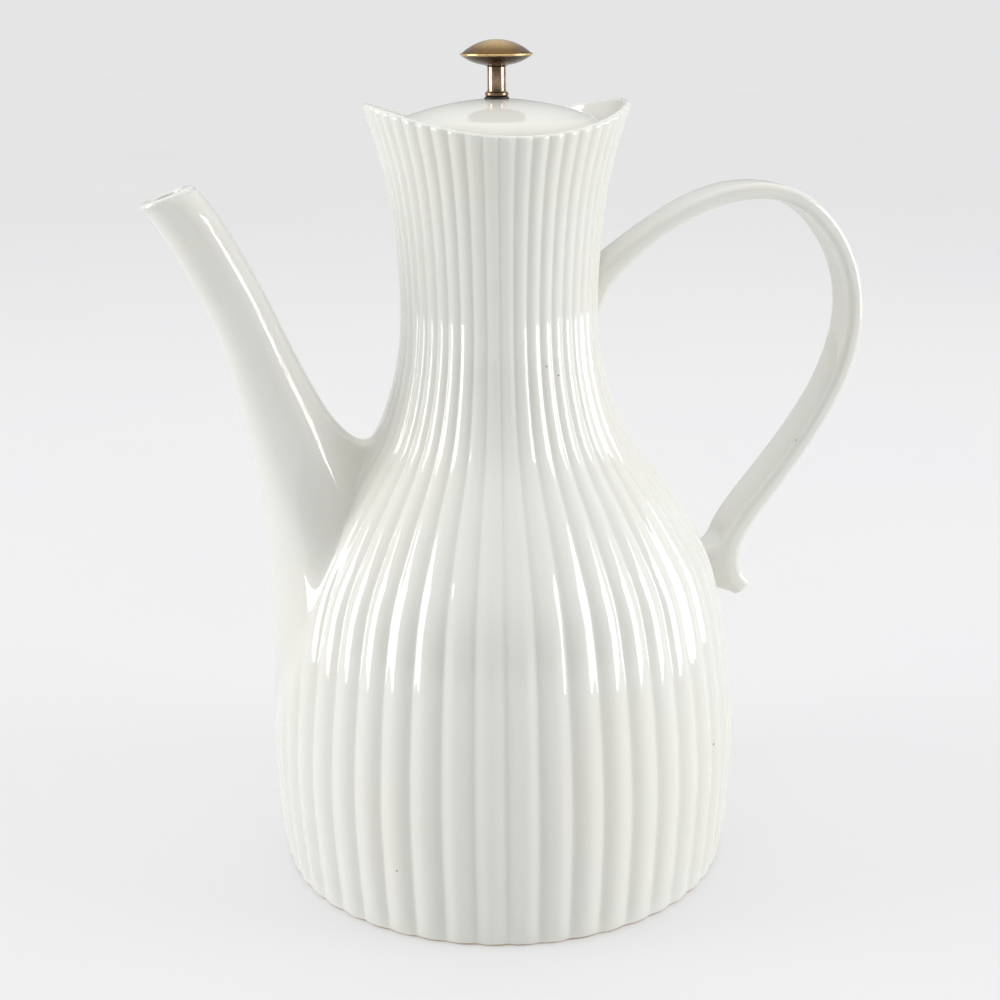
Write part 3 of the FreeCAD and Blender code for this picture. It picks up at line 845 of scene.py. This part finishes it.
def porcelain(name, bare_foot):
    """Glossy white glaze with faint warm stains, rare iron specks and, on the body, a bare foot."""
    n = Nodes(name)
    tint = n.mix(n.levels(n.noise(14.0, 3.0), 0.45, 0.8), PORCELAIN_WHITE, PORCELAIN_WARM)
    rare = n.levels(n.noise(55.0, 1.0), 0.66, 0.70)
    tint = n.mix(n.maths("MULTIPLY", n.spots(180.0, 0.085), rare), tint, IRON_BROWN)
    roughness = n.levels(n.noise(30.0, 3.0), 0.3, 0.8, 0.03, 0.07)
    if bare_foot:
        wander = n.maths("MULTIPLY", n.noise(160.0, 2.0), -BARE_WANDER * MM)
        edge = n.maths("ADD", n.axes()["Z"], wander)
        bare = n.levels(n.maths("DIVIDE", edge, BARE_HEIGHT * MM), 0.25, 0.6, 1.0, 0.0)
        tint = n.mix(bare, tint, BARE_CLAY)
        roughness = n.mix(bare, roughness, BARE_ROUGHNESS)
    n.colour(tint)
    n.roughness(roughness)
    n.set(IOR=1.52, Subsurface_Weight=0.12, Subsurface_Scale=1.5 * MM)
    n.shader.inputs["Subsurface Radius"].default_value = (1.0, 0.95, 0.8)
    n.bump((n.noise(60.0, 2.0), 0.10), (n.noise(260.0, 1.0, stretch=(1, 1, 2.2)), 0.016))
    return n.material


def stem_brass():
    """Brass darkened by handling: cloudy brown patina, fine freckles and small pits."""
    n = Nodes("stem_brass_visual")
    tint = n.mix(n.levels(n.noise(170.0, 5.0, 0.6), 0.32, 0.72), STEM_BRIGHT, STEM_DARK)
    freckles = n.levels(n.noise(900.0, 3.0, 0.7), 0.52, 0.66)
    n.colour(n.mix(n.maths("MULTIPLY", freckles, 0.45), tint, STEM_DARK))
    n.set(Metallic=1.0)
    n.roughness(n.levels(n.noise(420.0, 4.0), 0.3, 0.75, 0.12, 0.26))
    n.bump((n.noise(700.0, 4.0, 0.6), 0.02), (n.noise(110.0, 1.0), 0.03))
    return n.material


def cap_brass_painted_light():
    """Turned brass with painted light: a painted reflection at the cap's crown, a painted highlight on its
    rim, a painted dark reflection between and painted shade below.
    """
    n = Nodes("cap_brass_painted_light")
    x, y, z = n.axes()
    square = n.maths("ADD", n.maths("MULTIPLY", x, x), n.maths("MULTIPLY", y, y))
    rim = float(node_high("knob_cap")[0])
    radius = n.maths("DIVIDE", n.maths("SQRT", square, 0.0), rim * MM)
    cloud = n.maths("MULTIPLY", n.maths("SUBTRACT", n.noise(260.0, 4.0, 0.6), 0.5), CAP_CLOUD)
    clouded = n.maths("ADD", radius, n.maths("MULTIPLY", cloud, n.maths("SUBTRACT", 1.0, radius)))
    foot = float(node_low("knob_cap")[2])
    level = n.maths("DIVIDE", n.maths("SUBTRACT", z, foot * MM), CAP_RIM_HEIGHT * MM)
    # Painted shade under the rim; above it, the painted reflection and highlight bands.
    tint = n.mix(n.levels(level, 0.84, 0.93), CAP_PAINTED_UNDERSIDE_SHADE, n.ramp(clouded, CAP_PAINTED_LIGHT_BANDS))
    freckles = n.levels(n.noise(1100.0, 3.0, 0.7), 0.55, 0.66)
    n.colour(n.mix(n.maths("MULTIPLY", freckles, 0.5), tint, CAP_FRECKLES_AND_PAINTED_DARK_REFLECTION))
    n.set(Metallic=1.0)
    n.roughness(n.levels(n.noise(420.0, 4.0), 0.3, 0.75, 0.20, 0.32))
    n.bump((n.noise(700.0, 4.0, 0.6), 0.008), (n.noise(110.0, 1.0), 0.012))
    return n.material


def dark_washer():
    n = Nodes("dark_washer_visual")
    n.colour(n.ramp(n.noise(900.0, 3.0), [(0.3, (0.018, 0.014, 0.011, 1)), (0.8, (0.05, 0.04, 0.03, 1))]))
    n.set(Roughness=0.55)
    n.bump((n.noise(1500.0, 3.0), 0.02))
    return n.material


def bare_steel():
    """Turned steel: grey with fine rings and slight tarnish."""
    n = Nodes("bare_steel_visual")
    n.colour(n.ramp(n.noise(300.0, 4.0), [(0.3, (0.42, 0.42, 0.43, 1)), (0.75, (0.60, 0.59, 0.58, 1))]))
    n.set(Metallic=1.0)
    n.roughness(n.levels(n.noise(500.0, 3.0), 0.3, 0.8, 0.22, 0.38))
    n.bump((n.noise(60.0, 2.0, stretch=(1, 1, 60)), 0.01))
    return n.material


def cork():
    n = Nodes("cork_visual")
    bark = [(0.35, (0.16, 0.08, 0.035, 1)), (0.6, (0.50, 0.32, 0.17, 1))]
    n.colour(n.ramp(n.noise(800.0, 4.0, 0.7), bark))
    n.set(Roughness=0.85)
    n.bump((n.noise(900.0, 4.0, 0.7), 0.08))
    return n.material


def dress(piece, material):
    piece.data.materials.clear()
    piece.data.materials.append(material)


# ---- Stage: floor, light and camera ----
FLOOR_HALF = 80.0               # metres
FLOOR_TONE = 0.36               # share of the light that the paper sends back
FLOOR_GLOW = 0.46               # the paper is lit from below too, so that shadows on it stay faint
FLOOR_FADE = (0.7, 2.0)         # distances in metres over which it turns into the backdrop
BACKDROP = 0.79                 # the plain backdrop that the camera sees beyond the floor
CAMERA_TURN = math.radians(12.0)    # how far round from -Y the camera stands
CAMERA_DISTANCE = 552.0
CAMERA_HEIGHT = 295.3
CAMERA_PITCH = math.radians(16.85)
CAMERA_ROLL = 0.010
CAMERA_LENS = 59.76
CAMERA_SHIFT = -0.0008


def build_floor():
    """Pale paper that turns into the backdrop far from the pot."""
    n = Nodes("floor_paper")
    paper = n.ramp(n.noise(3.0, 3.0), [(0.3, (0.985, 0.985, 1.0, 1)), (0.7, (1.0, 1.0, 1.0, 1))])
    away = n.add("ShaderNodeVectorMath", operation="LENGTH")
    n.link(n.place, away.inputs[0])
    near, far = FLOOR_FADE
    share = n.maths("DIVIDE", n.maths("SUBTRACT", away.outputs["Value"], near), far - near)
    fade = n.levels(share, 0.0, 1.0)
    n.colour(n.mix(fade, n.mix(1.0 - FLOOR_TONE, paper, BLACK), BLACK))
    n.link(paper, n.shader.inputs["Emission Color"])
    glow = n.maths("ADD", n.maths("MULTIPLY", fade, BACKDROP - FLOOR_GLOW), FLOOR_GLOW)
    n.link(glow, n.shader.inputs["Emission Strength"])
    n.set(Roughness=0.9, Specular_IOR_Level=0.0)
    half = FLOOR_HALF
    mesh = bpy.data.meshes.new("floor")
    square = [(-half, -half, 0), (half, -half, 0), (half, half, 0), (-half, half, 0)]
    mesh.from_pydata(square, [], [(0, 1, 2, 3)])
    floor = bpy.data.objects.new("floor", mesh)
    bpy.context.scene.collection.objects.link(floor)
    dress(floor, n.material)
    floor.visible_glossy = False


def camera_axes(turn):
    """Level right and forward directions of a camera that stands at this turn from -Y."""
    right = Vector((math.cos(turn), -math.sin(turn), 0))
    forward = Vector((math.sin(turn), math.cos(turn), 0))
    return right, forward


def build_camera():
    right, ahead = camera_axes(CAMERA_TURN)
    forward = ahead * math.cos(CAMERA_PITCH) - Vector((0, 0, 1)) * math.sin(CAMERA_PITCH)
    up = right.cross(forward)
    rolled_up = up * math.cos(CAMERA_ROLL) + right * math.sin(CAMERA_ROLL)
    rolled_right = right * math.cos(CAMERA_ROLL) - up * math.sin(CAMERA_ROLL)
    data = bpy.data.cameras.new("camera")
    data.lens = CAMERA_LENS
    data.sensor_width = 36.0
    data.shift_x = CAMERA_SHIFT
    data.clip_start = 0.01
    data.clip_end = 100.0
    camera = bpy.data.objects.new("camera", data)
    bpy.context.scene.collection.objects.link(camera)
    turned = Matrix((rolled_right, rolled_up, -forward)).transposed().to_4x4()
    place = ahead * -CAMERA_DISTANCE + Vector((0, 0, CAMERA_HEIGHT))
    camera.matrix_world = Matrix.Translation(place * MM) @ turned
    bpy.context.scene.camera = camera


# ---- Light: a soft room, and two tall windows that the camera sees only as reflections ----
WINDOW_DISTANCE = 2.1           # metres, like the other lengths of the windows
WINDOW_LOW = -0.20              # the windows reach below the level of the table
WINDOW_HIGH = 1.35
WINDOW_GLARE = 10.0             # how bright the windows look in the glaze
WINDOW_GLOW = 5.6               # how bright the light is that they cast
PANES = (3, 7)                  # panes across and up each window
PANE_BAR = 0.10                 # share of a pane's size that its bar takes
WINDOWS = [                     # (name, azimuth in degrees from the camera, width)
    ("window_left", -84.0, 1.05), ("window_right", 80.0, 1.05),
]
ROOM_TINT = (0.99, 0.99, 1.0, 1)
ROOM_BASE = 0.07                # light from the camera's side
ROOM_BEHIND = 0.40              # more light from behind the pot
ROOM_SIDES = 0.50               # more light from the left and right
ROOM_ABOVE = 1.50               # more light from above
TABLE_TONE = 0.82               # the pale table as the glaze reflects it


def window_panes(lamp):
    """Splits a window's reflection into panes with dark bars."""
    lamp.use_nodes = True
    tree = lamp.node_tree
    place = tree.nodes.new("ShaderNodeNewGeometry").outputs["Parametric"]
    split = tree.nodes.new("ShaderNodeSeparateXYZ")
    tree.links.new(place, split.inputs[0])
    clear = []
    for axis, count in enumerate(PANES):
        source = split.outputs[axis]
        for operation, value in (("MULTIPLY", float(count)), ("FRACT", 0.0), ("GREATER_THAN", PANE_BAR)):
            step = tree.nodes.new("ShaderNodeMath")
            step.operation = operation
            tree.links.new(source, step.inputs[0])
            step.inputs[1].default_value = value
            source = step.outputs[0]
        clear.append(source)
    both = tree.nodes.new("ShaderNodeMath")
    both.operation = "MULTIPLY"
    for source, socket in zip(clear, both.inputs):
        tree.links.new(source, socket)
    tree.links.new(both.outputs[0], tree.nodes["Emission"].inputs["Strength"])


def window_light(name, azimuth, width):
    """Tall window beside the pot: one lamp for its reflection and a dimmer one for the light it casts."""
    right, ahead = camera_axes(CAMERA_TURN)
    turn = math.radians(azimuth)
    toward = right * math.sin(turn) - ahead * math.cos(turn)
    for part, strength in (("glare", WINDOW_GLARE), ("glow", WINDOW_GLOW)):
        data = bpy.data.lights.new(name + "_" + part, "AREA")
        data.shape = "RECTANGLE"
        data.size = width
        data.size_y = WINDOW_HIGH - WINDOW_LOW
        data.energy = strength * data.size * data.size_y * math.pi
        light = bpy.data.objects.new(name + "_" + part, data)
        light.location = toward * WINDOW_DISTANCE + Vector((0, 0, (WINDOW_LOW + WINDOW_HIGH) / 2))
        light.rotation_mode = "QUATERNION"
        light.rotation_quaternion = toward.to_track_quat("Z", "Y")
        light.visible_camera = False
        light.visible_diffuse = part == "glow"
        light.visible_glossy = part == "glare"
        if part == "glare":
            window_panes(data)
        bpy.context.scene.collection.objects.link(light)


def build_world():
    """Pale room, darkest on the camera's side; the camera itself sees a plain backdrop instead."""
    world = bpy.data.worlds.new("room")
    world.use_nodes = True
    tree = world.node_tree

    def node(kind, *inputs, **values):
        made = tree.nodes.new(kind)
        for name, value in values.items():
            setattr(made, name, value)
        for socket, value in zip(made.inputs, inputs):
            if isinstance(value, bpy.types.NodeSocket):
                tree.links.new(value, socket)
            else:
                socket.default_value = value
        return made

    way = node("ShaderNodeTexCoord").outputs["Generated"]
    right, ahead = camera_axes(CAMERA_TURN)
    onward = node("ShaderNodeVectorMath", way, ahead, operation="DOT_PRODUCT").outputs["Value"]
    across = node("ShaderNodeVectorMath", way, right, operation="DOT_PRODUCT").outputs["Value"]
    upward = node("ShaderNodeVectorMath", way, Vector((0, 0, 1)), operation="DOT_PRODUCT").outputs["Value"]
    sides = node("ShaderNodeMath", across, across, operation="MULTIPLY").outputs[0]
    sides = node("ShaderNodeMath", sides, sides, operation="MULTIPLY").outputs[0]
    above = node("ShaderNodeMath", upward, upward, operation="MULTIPLY").outputs[0]
    behind = node("ShaderNodeMath", onward, 0.0, operation="MAXIMUM").outputs[0]
    lit = node("ShaderNodeMath", sides, ROOM_SIDES, ROOM_BASE, operation="MULTIPLY_ADD").outputs[0]
    lit = node("ShaderNodeMath", above, ROOM_ABOVE, lit, operation="MULTIPLY_ADD").outputs[0]
    lit = node("ShaderNodeMath", behind, ROOM_BEHIND, lit, operation="MULTIPLY_ADD").outputs[0]
    sky = node("ShaderNodeMath", upward, 0.0, operation="GREATER_THAN").outputs[0]
    over_table = node("ShaderNodeMath", lit, TABLE_TONE, operation="SUBTRACT").outputs[0]
    lit = node("ShaderNodeMath", sky, over_table, TABLE_TONE, operation="MULTIPLY_ADD").outputs[0]
    room, backdrop = tree.nodes["Background"], tree.nodes.new("ShaderNodeBackground")
    room.inputs["Color"].default_value = ROOM_TINT
    tree.links.new(lit, room.inputs["Strength"])
    backdrop.inputs["Color"].default_value = ROOM_TINT
    backdrop.inputs["Strength"].default_value = BACKDROP
    seen = node("ShaderNodeLightPath").outputs["Is Camera Ray"]
    choice = node("ShaderNodeMixShader", seen, room.outputs[0], backdrop.outputs[0])
    tree.links.new(choice.outputs[0], tree.nodes["World Output"].inputs["Surface"])
    bpy.context.scene.world = world


def build_stage():
    build_floor()
    build_camera()
    build_world()
    for window in WINDOWS:
        window_light(*window)
    scene = bpy.context.scene
    scene.view_settings.view_transform = "Standard"
    scene.view_settings.look = "None"
    scene.view_settings.exposure = 0.0


# ---- The pot ----
def build_pot():
    glaze = porcelain("porcelain_visual", False)
    body_glaze = porcelain("porcelain_body_visual", True)
    pieces = [
        (build_body(), body_glaze, "pot", "pot_body", "porcelain"),
        (build_spout(), glaze, "pot", "spout", "porcelain"),
        (build_handle(), glaze, "pot", "handle", "porcelain"),
        (build_lid(), glaze, "lid", "lid_shell", "porcelain"),
        (build_cap(), cap_brass_painted_light(), "lid", "knob_cap", "knob_brass"),
        (build_stem(), stem_brass(), "lid", "knob_stem", "stem_brass"),
        (build_washer(), dark_washer(), "lid", "knob_washer", "dark_washer"),
    ]
    for piece, material, body, node, slot in pieces:
        dress(piece, material)
        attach(piece, body)
        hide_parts(node)
    steel = bare_steel()
    for node in ("knob_stud", "lid_flat_washer", "lid_nut"):
        dress(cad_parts[node], steel)
    dress(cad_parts["lid_cork_washer"], cork())


build_pot()
build_stage()
